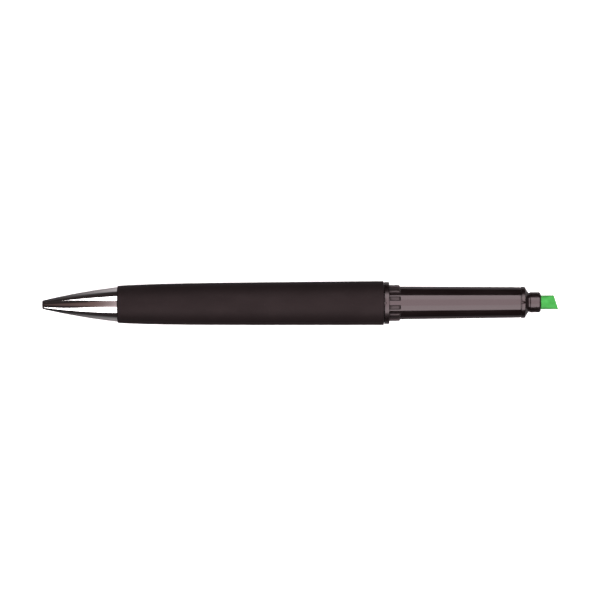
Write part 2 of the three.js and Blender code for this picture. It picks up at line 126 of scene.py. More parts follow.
# ---- Highlighter module ----
SHELL_REAR_RADIUS = 4.69
SHELL_FRONT_RADIUS = 4.38
SHELL_BORE = 3.63
SEAM_GROOVE_DEPTH = 0.07
SEAM_GROOVE_LENGTH = 0.25
RIB_COUNT = 12
RIB_TOP_RADIUS = 5.25
RIB_WIDTH = 1.2
RIB_LENGTH = 3.4
RIB_SLOPE = 0.5
RIB_REAR_EDGE = 0.15
RIB_REAR_DROP = 0.3
RIB_SATIN_FROM = 0.12
BEAD_RADIUS = 4.47
BEAD_LENGTH = 1.05
BEAD_EDGE = 0.14
SHOULDER_LENGTH = 1.05
NECK_RADIUS = 2.7
NECK_LENGTH = 0.4
NIB_COLLAR_RADIUS = 2.91
NIB_COLLAR_EDGE = 0.68
VENT_RADIUS = 0.34

# ---- Nib ----
NIB_BORE_GAP = 0.12
NIB_SLANT = math.radians(17.8)
NIB_EDGE_HALF = 0.4
NIB_FACET_LENGTH = 3.1
NIB_TAIL_CHAMFER = 0.4
NIB_END_ROUND = 0.22
NIB_FIBRE_HEIGHT = 0.018

# ---- Refill and spring ----
POINT_STEM_RADIUS = 0.8
POINT_BODY_RADIUS = 1.25
POINT_RIM_RADIUS = 0.46
POINT_CONE_LENGTH = 2.0
POINT_CHANNEL_RADIUS = 0.3
POINT_STEM_REAR = 7.34
POINT_FLANGE_LENGTH = 1.5
POINT_SPIGOT_LENGTH = 3
POINT_SPIGOT_RADIUS = 1.05
BALL_GAP = 0.04
SPRING_TURNS = 9
SPRING_WIRE_RADIUS = 0.2
SPRING_CLOSE_TURN_GAP = 0.08

# ---- View, in metres ----
CAMERA_HEIGHT = 1.2
SENSOR_WIDTH = 36
VIEW_WIDTH = 1.1627
CAMERA_AIM = (-0.000095, 0.00099)
CAMERA_ROLL = math.radians(-0.29)

# ---- Light sheets: ends along X in metres, edges in degrees from straight up ----
LIGHT_DISTANCE = 0.9
LIGHT_RIGHT_END = 0.9
BACK_LEFT_END = -0.47
FRONT_LEFT_END = -0.478
PANEL_LEFT_END = -0.40
PANEL_FULL_AT = -0.03
PANEL_NEAR = -20
PANEL_FAR = 24
BACK_FAR = 56
FRONT_FAR = -57.5
FRONT_LOWEST = -84
SOFTBOX_GLOW = (5.0, 4.75, 4.8)
PANEL_GLOW = (4.5, 4.0, 4.1)
PANEL_DIM_GLOW = (0.16, 0.1, 0.094)

# The panel's front side is brighter. The lift grows between these places along Y.
PANEL_LIFT = 0.45
PANEL_LIFT_FROM = 0.1
PANEL_LIFT_TO = -0.31

# The nose's mouth and its middle reflect these places along X.
NOSE_MOUTH_LIGHT = -0.278
NOSE_MIDDLE_LIGHT = -0.33

# ---- Cards and floor, in metres ----
CARD_ENDS = (-0.045, 0.12)
CARD_HEIGHTS = (0.0005, 0.0125)
CARD_DISTANCE = 0.020
FLOOR_RADIUS = 0.6
# The floor's painted shade changes across this reach along Y, and beside the nose between the two places
# below along X.
FLOOR_TONE_REACH = 0.03
NOSE_SHADE_FROM = -0.072
NOSE_SHADE_TO = -0.053


# ---- Where things are ----

def station(x):
    """Distance in millimetres from the nose face to a place along X in metres."""
    return (x - FACE_X) / MM


def span(node):
    """First and last station of a CAD node."""
    low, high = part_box(node)
    return station(low.x), station(high.x)


def reach(node):
    """Largest radius of a round CAD node, in millimetres."""
    low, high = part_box(node)
    return (high.z - low.z) / 2 / MM


def point(at, radius, angle):
    """A place in the frame, in metres. The angle is about the axis, counted from +Z towards +Y."""
    return Vector((
        FACE_X + at * MM,
        radius * math.sin(angle) * MM,
        AXIS_Z + radius * math.cos(angle) * MM,
    ))


NOSE_MOUTH = span("barrel")[0] - NOSE_SEAM
BARREL_FRONT, BARREL_REAR = span("barrel")
RING_FRONT = BARREL_REAR + SEAM
SHELL_REAR, SHELL_FRONT = span("highlighter_body")
HOLDER_REAR, NIB_COLLAR_FRONT = span("nib_holder")
NIB_TAIL, NIB_POINT = span("highlighter_nib")
NIB_RADIUS = reach("highlighter_nib")


# ---- Outlines ----

def smooth_step(value):
    """0 below 0, 1 above 1, and an even S between."""
    share = min(max(value, 0.0), 1.0)
    return share * share * (3 - 2 * share)


def spread(first, last, steps):
    """Evenly spaced numbers, both ends included."""
    return [first + (last - first) * i / steps for i in range(steps + 1)]


def quarter_round(start, end, starts_radial, steps=10):
    """Points of a quarter ellipse between two (station, radius) points."""
    points = []
    for turn in spread(0, math.pi / 2, steps):
        slow, fast = 1 - math.cos(turn), math.sin(turn)
        along, out = (slow, fast) if starts_radial else (fast, slow)
        points.append((start[0] + (end[0] - start[0]) * along, start[1] + (end[1] - start[1]) * out))
    return points


def filleted(outline):
    """A closed outline of (station, radius[, fillet]), with its filleted corners as arcs."""
    points = []
    for i, corner in enumerate(outline):
        here = Vector(corner[:2])
        size = corner[2] if len(corner) > 2 else 0
        if size <= 0:
            points.append(tuple(here))
            continue
        before = (Vector(outline[i - 1][:2]) - here).normalized()
        after = (Vector(outline[(i + 1) % len(outline)][:2]) - here).normalized()
        half = before.angle(after) / 2
        run = size / math.tan(half)
        centre = here + (before + after).normalized() * (size / math.sin(half))
        first = here + before * run - centre
        last = here + after * run - centre
        for share in spread(0, 1, FILLET_STEPS):
            arm = first.lerp(last, share).normalized() * size
            points.append(tuple(centre + arm))
    return points


def nose_radius(at):
    """Outer radius of the nose at a station: nearly a straight cone, with a slight even belly."""
    u = at / NOSE_MOUTH
    return NOSE_TIP_RADIUS + (NOSE_MOUTH_RADIUS - NOSE_TIP_RADIUS) * u + NOSE_BELLY * u * (1 - u)


def barrel_radius(at):
    """Outer radius of the barrel at a station: a quick swell, then a slow taper."""
    run = at - BARREL_FRONT - BARREL_FRONT_EDGE
    swell = BARREL_SWELL * (1 - math.exp(-run / BARREL_SWELL_LENGTH))
    return BARREL_FRONT_RADIUS + swell + BARREL_TAPER * run


# ---- Meshes ----

def finish_mesh(name, work, sharp_degrees=35):
    """A Blender object from a bmesh, with its faces pointing out and only its real corners sharp."""
    bmesh.ops.recalc_face_normals(work, faces=work.faces)
    mesh = bpy.data.meshes.new(name)
    work.to_mesh(mesh)
    work.free()
    mesh.shade_smooth()
    mesh.set_sharp_from_angle(angle=math.radians(sharp_degrees))
    piece = bpy.data.objects.new(name, mesh)
    bpy.context.scene.collection.objects.link(piece)
    return piece


def bridge(work, ring, other):
    """Faces between two closed rings of vertices. A ring of one vertex is a point on the axis."""
    count = max(len(ring), len(other))
    for i in range(count):
        corners = [ring[i % len(ring)], ring[(i + 1) % len(ring)]]
        corners += [other[(i + 1) % len(other)], other[i % len(other)]]
        unique = list(dict.fromkeys(corners))
        if len(unique) > 2:
            work.faces.new(unique)


def turned(name, outline, sides, sharp_degrees=35):
    """A round piece from its closed half section of (station, radius[, fillet])."""
    work = bmesh.new()
    rings = []
    for at, radius in filleted(outline):
        if radius < 1e-6:
            rings.append([work.verts.new(point(at, 0, 0))])
        else:
            turns = [2 * math.pi * i / sides for i in range(sides)]
            rings.append([work.verts.new(point(at, radius, turn)) for turn in turns])
    for i, ring in enumerate(rings):
        bridge(work, ring, rings[(i + 1) % len(rings)])
    return finish_mesh(name, work, sharp_degrees)


def cut(piece, cutter):
    """Cuts one piece's shape out of another and removes the cutter."""
    modifier = piece.modifiers.new("cut", "BOOLEAN")
    modifier.operation = "DIFFERENCE"
    modifier.solver = "EXACT"
    modifier.object = cutter
    bpy.context.view_layer.update()
    graph = bpy.context.evaluated_depsgraph_get()
    mesh = bpy.data.meshes.new_from_object(piece.evaluated_get(graph))
    piece.modifiers.clear()
    piece.data = mesh
    mesh.shade_smooth()
    mesh.set_sharp_from_angle(angle=math.radians(35))
    bpy.data.objects.remove(cutter)
    return piece


def bar(name, middle, radius, length, direction, sides=SMALL_SIDES):
    """A round bar centred on a place, along a direction."""
    work = bmesh.new()
    bmesh.ops.create_cone(
        work, cap_ends=True, segments=sides, radius1=radius * MM, radius2=radius * MM, depth=length * MM
    )
    turn = Vector(direction).to_track_quat("Z", "Y").to_matrix().to_4x4()
    work.transform(Matrix.Translation(middle) @ turn)
    return finish_mesh(name, work)


def block(name, middle, size):
    """A box with slightly rounded edges, centred on a place. Its size is in millimetres."""
    work = bmesh.new()
    bmesh.ops.create_cube(work, size=1)
    work.transform(Matrix.Translation(middle) @ Matrix.Diagonal((*(Vector(size) * MM), 1)))
    bmesh.ops.bevel(work, geom=work.edges[:], offset=0.08 * MM, segments=3, profile=0.5, affect="EDGES")
    return finish_mesh(name, work)


# ---- Barrel group ----

def nose_cone():
    spigot_rear = span("nose_cone")[1]
    spring_seat = span("return_spring")[0] - FIXED_GAP
    flank = [(at, nose_radius(at)) for at in spread(0, NOSE_MOUTH, 70)[2:]]
    outline = [
        (0, NOSE_HOLE_RADIUS, 0.06),
        (0, NOSE_TIP_RADIUS, NOSE_TIP_ROUND),
        *flank,
        (NOSE_MOUTH, NOSE_SPIGOT_RADIUS),
        (spigot_rear, NOSE_SPIGOT_RADIUS, 0.2),
        (spigot_rear, NOSE_SPIGOT_RADIUS - NOSE_SPIGOT_WALL, 0.1),
        (NOSE_MOUTH - NOSE_RELIEF_INSET, NOSE_SPIGOT_RADIUS - NOSE_SPIGOT_WALL),
        (NOSE_MOUTH - NOSE_RELIEF_INSET, NOSE_CHAMBER_RADIUS),
        (spring_seat, NOSE_CHAMBER_RADIUS),
        (spring_seat, NOSE_GUIDE_RADIUS, 0.08),
        (NOSE_GUIDE_STATION, NOSE_GUIDE_RADIUS),
        (NOSE_GUIDE_STATION, NOSE_HOLE_RADIUS),
    ]
    return turned("chrome_nose", outline, OUTER_SIDES)


def barrel():
    edge_front = BARREL_REAR - BARREL_REAR_EDGE
    swell_front = BARREL_FRONT + BARREL_FRONT_EDGE
    housing_front = span("mechanism_housing")[0] - SEAM
    bush_front = span("rear_bush")[0] - SEAM
    housing_pocket = reach("mechanism_housing") + FIXED_GAP
    front_edge = quarter_round(
        (BARREL_FRONT, BARREL_FRONT_FACE_RADIUS), (swell_front, BARREL_FRONT_RADIUS), True, 14
    )
    flank = [(at, barrel_radius(at)) for at in spread(swell_front, edge_front, 110)[1:-1]]
    rear_radius = barrel_radius(edge_front)
    rear_edge = quarter_round((edge_front, rear_radius), (BARREL_REAR, rear_radius - BARREL_REAR_EDGE), False)
    outline = [
        (BARREL_FRONT, FRONT_POCKET_RADIUS),
        *front_edge,
        *flank,
        *rear_edge,
        (BARREL_REAR, BUSH_POCKET_RADIUS),
        (bush_front, BUSH_POCKET_RADIUS),
        (bush_front, housing_pocket),
        (housing_front, housing_pocket),
        (housing_front, BARREL_BORE),
        (BARREL_FRONT + FRONT_POCKET_LENGTH, BARREL_BORE),
        (BARREL_FRONT + FRONT_POCKET_LENGTH, FRONT_POCKET_RADIUS),
    ]
    return turned("soft_barrel", outline, OUTER_SIDES)


def end_ring():
    bush_front, ring_rear = span("rear_bush")
    radius = reach("rear_bush")
    recess = ring_rear - RING_RECESS_DEPTH
    outline = [
        (bush_front, JOURNAL_BORE),
        (bush_front, BUSH_SPIGOT_RADIUS, 0.15),
        (RING_FRONT, BUSH_SPIGOT_RADIUS),
        (RING_FRONT, radius, RING_EDGE),
        (ring_rear, radius, RING_EDGE),
        (ring_rear, RING_RECESS_RADIUS, 0.05),
        (recess, RING_RECESS_RADIUS),
        (recess, JOURNAL_BORE),
    ]
    ring = turned("gloss_end_ring", outline, OUTER_SIDES)
    middle = point(RING_FRONT + (INDEX_NOTCH_LENGTH - SEAM) / 2, radius, 0)
    size = (INDEX_NOTCH_LENGTH + SEAM, INDEX_NOTCH_WIDTH, 2 * INDEX_NOTCH_DEPTH)
    return cut(ring, block("notch_cutter", middle, size))


def spring_coil():
    """The return spring: a closed turn at each end, and open turns between."""
    front, rear = span("return_spring")
    radius = reach("return_spring") - SPRING_WIRE_RADIUS
    closed_pitch = 2 * SPRING_WIRE_RADIUS + SPRING_CLOSE_TURN_GAP
    usable = rear - front - 2 * SPRING_WIRE_RADIUS
    open_pitch = (usable - 2 * closed_pitch) / (SPRING_TURNS - 2)
    wire_sides = 12
    work = bmesh.new()
    rings = []
    for turn in spread(0, SPRING_TURNS, SPRING_TURNS * 48):
        open_turns = min(max(turn - 1, 0), SPRING_TURNS - 2)
        along = (turn - open_turns) * closed_pitch + open_turns * open_pitch
        angle = 2 * math.pi * (0.25 - turn)
        centre = point(front + SPRING_WIRE_RADIUS + along, radius, angle)
        outward = Vector((0, math.sin(angle), math.cos(angle)))
        ring = []
        for i in range(wire_sides):
            way = 2 * math.pi * i / wire_sides
            arm = outward * math.cos(way) + Vector((math.sin(way), 0, 0))
            ring.append(work.verts.new(centre + arm * SPRING_WIRE_RADIUS * MM))
        rings.append(ring)
    for ring, following in zip(rings, rings[1:]):
        bridge(work, ring, following)
    work.faces.new(rings[0])
    work.faces.new(rings[-1])
    return finish_mesh("spring_coil", work, 60)


# ---- Highlighter module ----

def rib_height(at, across):
    """How far a rib stands proud of the shell, at a station and a distance from its centre line."""
    share = min(abs(across) / (RIB_WIDTH / 2), 1.0)
    crown = (1 - share ** 3) ** (1 / 3)
    run = at - SHELL_REAR
    rear = 1 - RIB_REAR_DROP * (1 - math.sqrt(min(run / RIB_REAR_EDGE, 1)))
    front = smooth_step((RIB_LENGTH - run) / RIB_SLOPE)
    return (RIB_TOP_RADIUS - SHELL_REAR_RADIUS) * crown * rear * front


def rib_turns():
    """Angles round the collar, close together at the ribs' sides."""
    pitch = 2 * math.pi / RIB_COUNT
    edge = [RIB_WIDTH / 2 * math.sin(turn) for turn in spread(0, math.pi / 2, 12)]
    half = [*edge, RIB_WIDTH / 2 + 0.05, RIB_WIDTH / 2 + 0.2, 1.0]
    turns = []
    for rib in range(RIB_COUNT):
        centre = (rib + 0.5) * pitch
        steps = [-value for value in reversed(half[1:])] + half
        turns += [(centre + value / SHELL_REAR_RADIUS, value) for value in steps]
    return turns


def highlighter_shell():
    """The gloss shell with its ribbed collar, as rings that share one set of angles."""
    groove_rear = SHELL_FRONT - SEAM_GROOVE_LENGTH
    collar_front = SHELL_REAR + RIB_LENGTH
    rear_edge = [SHELL_REAR + run for run in (0, 0.02, 0.05, 0.09, 0.15)]
    slope = spread(collar_front - RIB_SLOPE - 0.05, collar_front + 0.05, 14)
    stops = [*rear_edge, SHELL_REAR + 1.2, *slope, *spread(collar_front + 0.4, groove_rear - 0.12, 12)]
    turns = rib_turns()
    work = bmesh.new()
    rings = []

    def add_ring(at, radius, ribbed):
        ring = []
        for angle, across in turns:
            proud = rib_height(at, across) if ribbed else 0
            ring.append(work.verts.new(point(at, radius + proud, angle)))
        rings.append(ring)

    for at in stops:
        run = max(at - collar_front, 0) / (groove_rear - collar_front)
        add_ring(at, SHELL_REAR_RADIUS + (SHELL_FRONT_RADIUS - SHELL_REAR_RADIUS) * run, at < collar_front)
    for at, radius in quarter_round(
        (groove_rear - SEAM_GROOVE_DEPTH, SHELL_FRONT_RADIUS),
        (groove_rear, SHELL_FRONT_RADIUS - SEAM_GROOVE_DEPTH), False, 4
    ):
        add_ring(at, radius, False)
    add_ring(SHELL_FRONT, SHELL_FRONT_RADIUS - SEAM_GROOVE_DEPTH, False)
    add_ring(SHELL_FRONT, SHELL_BORE, False)
    add_ring(SHELL_REAR, SHELL_BORE, False)
    for i, ring in enumerate(rings):
        bridge(work, ring, rings[(i + 1) % len(rings)])
    for face in work.faces:
        middle = face.calc_center_median()
        proud = math.hypot(middle.y, middle.z - AXIS_Z) / MM - SHELL_REAR_RADIUS
        face.material_index = 1 if proud > RIB_SATIN_FROM else 0
    return finish_mesh("highlighter_shell", work, 40)


def nib_grip():
    """The holder: spigot, bead, sloped shoulder, neck and rounded nib collar, with one vent hole whose walls
    carry painted shade.
    """
    bead_rear = SHELL_FRONT + SEAM
    bead_front = bead_rear + BEAD_LENGTH
    neck_rear = bead_front + SHOULDER_LENGTH
    collar_rear = neck_rear + NECK_LENGTH
    bore = NIB_RADIUS + NIB_BORE_GAP
    spigot = SHELL_BORE - NIB_BORE_GAP
    outline = [
        (HOLDER_REAR, bore),
        (HOLDER_REAR, spigot, 0.2),
        (bead_rear, spigot),
        (bead_rear, BEAD_RADIUS, BEAD_EDGE),
        (bead_front, BEAD_RADIUS, BEAD_EDGE),
        (neck_rear, NECK_RADIUS, 0.25),
        (collar_rear, NECK_RADIUS, 0.12),
        (collar_rear, NIB_COLLAR_RADIUS, 0.22),
        (NIB_COLLAR_FRONT, NIB_COLLAR_RADIUS, NIB_COLLAR_EDGE),
        (NIB_COLLAR_FRONT, bore, 0.08),
    ]
    holder = turned("nib_grip", outline, OUTER_SIDES)
    vent_middle = point(bead_front - VENT_RADIUS + SEAM, (BEAD_RADIUS + bore) / 2, 0)
    vent = bar("vent_cutter", vent_middle, VENT_RADIUS, 2 * (BEAD_RADIUS - bore), (0, 0, 1))
    cut(holder, vent)
    # The vent's wall faces get the painted-shade material, a dull black that barely reflects.
    for face in holder.data.polygons:
        beside = math.hypot(face.center.x - vent_middle.x, face.center.y) / MM
        face.material_index = 1 if beside < VENT_RADIUS and face.center.z > AXIS_Z else 0
    return holder


def felt_nib():
    """A round felt rod whose end is cut to a wedge with a slanted edge, its corners softened by use."""
    sides = 120
    facet_slope = (NIB_RADIUS - NIB_EDGE_HALF) / (NIB_FACET_LENGTH * math.cos(NIB_SLANT))
    work = bmesh.new()

    def end_station(across):
        """The slanted end's station at a distance across the pen."""
        return NIB_POINT - (across + NIB_RADIUS) * math.tan(NIB_SLANT)

    def felt_point(back, radius, angle, pull):
        """A point some way behind the slanted end. pull is how far the end's edge is rounded in."""
        across = radius * math.sin(angle)
        height = radius * math.cos(angle)
        limit = NIB_EDGE_HALF + facet_slope * back * math.cos(NIB_SLANT) - pull
        soft = 6
        ratio = abs(height) / limit
        height = math.copysign(abs(height) / (1 + ratio ** soft) ** (1 / soft), height)
        at = end_station(across) - back
        grain = noise.noise(Vector((at * 5, across * 14, height * 14)))
        out = 1 + NIB_FIBRE_HEIGHT * grain / NIB_RADIUS
        return work.verts.new(Vector((FACE_X + at * MM, across * out * MM, AXIS_Z + height * out * MM)))

    length = NIB_POINT - NIB_TAIL - 2 * NIB_RADIUS * math.tan(NIB_SLANT)
    rings = []
    for share in (1.0, 0.85, 0.6):
        rings.append([
            felt_point(length, (NIB_RADIUS - NIB_TAIL_CHAMFER) * (1.001 - share), 2 * math.pi * i / sides, 0)
            for i in range(sides)
        ])
    backs = [length - NIB_TAIL_CHAMFER, *spread(length - 1, 5, 10), *spread(4.9, NIB_END_ROUND, 60)]
    rings.append([
        felt_point(length, NIB_RADIUS - NIB_TAIL_CHAMFER, 2 * math.pi * i / sides, 0) for i in range(sides)
    ])
    for back in backs:
        rings.append([felt_point(back, NIB_RADIUS, 2 * math.pi * i / sides, 0) for i in range(sides)])
    for turn in spread(0, math.pi / 2, 6)[1:]:
        back = NIB_END_ROUND * (1 - math.sin(turn))
        pull = NIB_END_ROUND * (1 - math.cos(turn))
        rings.append([
            felt_point(back, NIB_RADIUS - pull, 2 * math.pi * i / sides, pull * 0.7) for i in range(sides)
        ])
    for share in (0.7, 0.4, 0.15):
        rings.append([
            felt_point(0, (NIB_RADIUS - NIB_END_ROUND) * share, 2 * math.pi * i / sides, NIB_END_ROUND * 0.7)
            for i in range(sides)
        ])
    for ring, following in zip(rings, rings[1:]):
        bridge(work, ring, following)
    work.faces.new(rings[0])
    work.faces.new(rings[-1])
    return finish_mesh("felt_nib", work, 60)


# ---- Refill ----

def point_cone():
    front, rear = span("refill_point")
    flange_rear = rear - POINT_SPIGOT_LENGTH
    flange_front = flange_rear - POINT_FLANGE_LENGTH
    seat = (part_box("writing_ball")[1].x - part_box("writing_ball")[0].x) / 2 / MM + BALL_GAP
    seat_rear = span("writing_ball")[1] + SEAM
    outline = [
        (front, seat),
        (front, POINT_RIM_RADIUS, 0.02),
        (front + POINT_CONE_LENGTH, POINT_STEM_RADIUS),
        (POINT_STEM_REAR, POINT_STEM_RADIUS),
        (POINT_STEM_REAR + 0.2, POINT_BODY_RADIUS, 0.06),
        (flange_front, POINT_BODY_RADIUS),
        (flange_front, reach("refill_point"), 0.08),
        (flange_rear, reach("refill_point"), 0.08),
        (flange_rear, POINT_SPIGOT_RADIUS),
        (rear, POINT_SPIGOT_RADIUS, 0.15),
        (rear, POINT_CHANNEL_RADIUS),
        (seat_rear, POINT_CHANNEL_RADIUS),
        (seat_rear, seat),
    ]
    return turned("point_cone", outline, INNER_SIDES)


def point_ball():
    front, rear = span("writing_ball")
    middle, radius = (front + rear) / 2, (rear - front) / 2
    arc = [(middle - radius * math.cos(turn), radius * math.sin(turn)) for turn in spread(0, math.pi, 24)]
    arc[0] = (front, 0)
    arc[-1] = (rear, 0)
    return turned("point_ball", arc, SMALL_SIDES)


# ---- Materials ----

def material(name, **values):
    """A node material with its shader's own sockets set. Returns the material and its shader."""
    made = bpy.data.materials.new(name)
    made.use_nodes = True
    shader = made.node_tree.nodes["Principled BSDF"]
    for socket, value in values.items():
        shader.inputs[socket.replace("_", " ")].default_value = value
    return made, shader


def grain(made, scale, detail=3.0, roughness=0.5):
    """Noise over the object's own coordinates, in cycles per metre along each axis."""
    nodes, links = made.node_tree.nodes, made.node_tree.links
    place = nodes.new("ShaderNodeTexCoord")
    stretch = nodes.new("ShaderNodeMapping")
    stretch.inputs["Scale"].default_value = scale
    texture = nodes.new("ShaderNodeTexNoise")
    texture.inputs["Scale"].default_value = 1.0
    texture.inputs["Detail"].default_value = detail
    texture.inputs["Roughness"].default_value = roughness
    links.new(place.outputs["Object"], stretch.inputs["Vector"])
    links.new(stretch.outputs["Vector"], texture.inputs["Vector"])
    return texture.outputs["Fac"]


def ramp(made, value, stops):
    """Colours or greys along a value. Each stop is a place and a colour or a grey."""
    node = made.node_tree.nodes.new("ShaderNodeValToRGB")
    elements = node.color_ramp.elements
    while len(elements) < len(stops):
        elements.new(0.5)
    for element, (place, tone) in zip(elements, stops):
        element.position = place
        element.color = (*tone, 1) if isinstance(tone, tuple) else (tone, tone, tone, 1)
    made.node_tree.links.new(value, node.inputs["Fac"])
    return node.outputs["Color"]


def mixed(made, share, first, second, blend="MIX"):
    """Two colours mixed. The share is an output or a number."""
    node = made.node_tree.nodes.new("ShaderNodeMix")
    node.data_type = "RGBA"
    node.blend_type = blend
    colour_sockets = [socket for socket in node.inputs if socket.type == "RGBA"]
    for socket, value in zip([node.inputs["Factor"], *colour_sockets], [share, first, second]):
        if isinstance(value, bpy.types.NodeSocket):
            made.node_tree.links.new(value, socket)
        else:
            socket.default_value = value
    return next(socket for socket in node.outputs if socket.type == "RGBA")


def bumped(made, shader, heights):
    """Bump from a list of (height output, depth in metres), one on top of the other."""
    nodes, links = made.node_tree.nodes, made.node_tree.links
    previous = None
    for height, depth in heights:
        node = nodes.new("ShaderNodeBump")
        node.inputs["Strength"].default_value = 1.0
        node.inputs["Distance"].default_value = depth
        links.new(height, node.inputs["Height"])
        if previous is not None:
            links.new(previous, node.inputs["Normal"])
        previous = node.outputs["Normal"]
    links.new(previous, shader.inputs["Normal"])


def link(made, output, shader, socket):
    made.node_tree.links.new(output, shader.inputs[socket])


def chrome_plate():
    made, shader = material("chrome_plate", Metallic=1.0, IOR=2.9)
    smudge = grain(made, (260, 260, 260), 4)
    polish = grain(made, (300, 6000, 6000), 2)
    tone = ramp(made, smudge, [(0.3, (0.86, 0.85, 0.85)), (0.75, (0.93, 0.925, 0.93))])
    link(made, tone, shader, "Base Color")
    link(made, ramp(made, smudge, [(0.35, 0.035), (0.8, 0.085)]), shader, "Roughness")
    bumped(made, shader, [(smudge, 4e-6), (polish, 2e-7)])
    return made


def soft_touch():
    made, shader = material("soft_touch", Specular_IOR_Level=0.11, IOR=1.5, Sheen_Weight=0.01)
    shader.inputs["Sheen Roughness"].default_value = 0.5
    # The specular tint paints the studio light's warm cast into the reflections.
    shader.inputs["Specular Tint"].default_value = (1.0, 0.82, 0.84, 1)
    cloud = grain(made, (90, 160, 160), 3)
    fine = grain(made, (9000, 9000, 9000), 2)
    dust = grain(made, (2600, 2600, 2600), 1)
    tone = ramp(made, cloud, [(0.3, (0.0060, 0.0040, 0.0042)), (0.7, (0.0080, 0.0055, 0.0057))])
    speck = ramp(made, dust, [(0.74, 0.0), (0.8, 0.5)])
    link(made, mixed(made, speck, tone, (0.02, 0.016, 0.016, 1)), shader, "Base Color")
    link(made, ramp(made, cloud, [(0.3, 0.62), (0.7, 0.54)]), shader, "Roughness")
    bumped(made, shader, [(fine, 5e-6)])
    return made


def gloss_black(name, low, high, wave, shine=0.5):
    """Black moulding. Its roughness runs between two values, wave is its sink marks' depth, and shine is how
    much it reflects."""
    made, shader = material(name, IOR=1.5, Specular_IOR_Level=shine)
    # The specular tint paints the studio light's warm cast into the reflections.
    shader.inputs["Specular Tint"].default_value = (1.0, 0.84, 0.87, 1)
    cloud = grain(made, (120, 300, 300), 3)
    sink = grain(made, (45, 260, 260), 1)
    scratch = grain(made, (700, 12000, 12000), 2)
    tone = ramp(made, cloud, [(0.3, (0.0042, 0.0026, 0.0026)), (0.7, (0.0066, 0.0046, 0.0046))])
    link(made, tone, shader, "Base Color")
    link(made, ramp(made, cloud, [(0.3, low), (0.7, high)]), shader, "Roughness")
    bumped(made, shader, [(sink, wave), (scratch, 1.5e-7)])
    return made


def felt():
    made, shader = material("green_felt", Specular_IOR_Level=0.25, Sheen_Weight=0.15)
    shader.inputs["Subsurface Weight"].default_value = 0.12
    shader.inputs["Subsurface Scale"].default_value = 0.0004
    shader.inputs["Subsurface Radius"].default_value = (0.3, 1.0, 0.3)
    fibre = grain(made, (1800, 9000, 9000), 3)
    soak = grain(made, (500, 700, 700), 2)
    tone = ramp(made, soak, [(0.3, (0.023, 0.212, 0.028)), (0.7, (0.038, 0.272, 0.05))])
    thread = ramp(made, fibre, [(0.35, (0.72, 0.80, 0.72)), (0.65, (1.0, 1.0, 1.0))])
    link(made, mixed(made, 1.0, tone, thread, "MULTIPLY"), shader, "Base Color")
    link(made, ramp(made, fibre, [(0.3, 0.62), (0.7, 0.9)]), shader, "Roughness")
    bumped(made, shader, [(fibre, 3e-5)])
    return made


def turned_metal(name, dark, light, low, high):
    """Metal with fine turning lines round its axis."""
    made, shader = material(name, Metallic=1.0)
    lines = grain(made, (14000, 60, 60), 2)
    cloud = grain(made, (700, 700, 700), 3)
    link(made, ramp(made, cloud, [(0.3, dark), (0.7, light)]), shader, "Base Color")
    link(made, ramp(made, lines, [(0.3, low), (0.7, high)]), shader, "Roughness")
    bumped(made, shader, [(lines, 1.5e-6)])
    return made


def moulded(name, dark, light, low, high, **values):
    """Moulded plastic, rubber, paste or film, with cloudy colour and a fine surface grain."""
    made, shader = material(name, **values)
    cloud = grain(made, (350, 350, 350), 3)
    fine = grain(made, (7000, 7000, 7000), 2)
    link(made, ramp(made, cloud, [(0.3, dark), (0.7, light)]), shader, "Base Color")
    link(made, ramp(made, fine, [(0.3, low), (0.7, high)]), shader, "Roughness")
    bumped(made, shader, [(fine, 3e-6)])
    return made


def fibre_bundle():
    made, shader = material("fibre_bundle", Sheen_Weight=0.2)
    strands = grain(made, (120, 9000, 9000), 3)
    tone = ramp(made, strands, [(0.35, (0.06, 0.42, 0.08)), (0.65, (0.22, 0.78, 0.26))])
    link(made, tone, shader, "Base Color")
    link(made, ramp(made, strands, [(0.3, 0.7), (0.7, 0.95)]), shader, "Roughness")
    bumped(made, shader, [(strands, 3e-5)])
    return made


# ---- Stage, light and view ----

def own_place(made):
    """The outputs X, Y and Z of a place in the object's own coordinates."""
    nodes, links = made.node_tree.nodes, made.node_tree.links
    place = nodes.new("ShaderNodeTexCoord")
    parts = nodes.new("ShaderNodeSeparateXYZ")
    links.new(place.outputs["Object"], parts.inputs["Vector"])
    return parts.outputs


def share_of(made, value, first, last):
    """How far an output lies from a first value to a last one, as 0 to 1."""
    node = made.node_tree.nodes.new("ShaderNodeMapRange")
    node.inputs["From Min"].default_value = first
    node.inputs["From Max"].default_value = last
    made.node_tree.links.new(value, node.inputs["Value"])
    return node.outputs["Result"]


def maths(made, operation, first, second):
    """One sum on outputs or numbers."""
    node = made.node_tree.nodes.new("ShaderNodeMath")
    node.operation = operation
    for socket, value in zip(node.inputs, (first, second)):
        if isinstance(value, bpy.types.NodeSocket):
            made.node_tree.links.new(value, socket)
        else:
            socket.default_value = value
    return node.outputs["Value"]


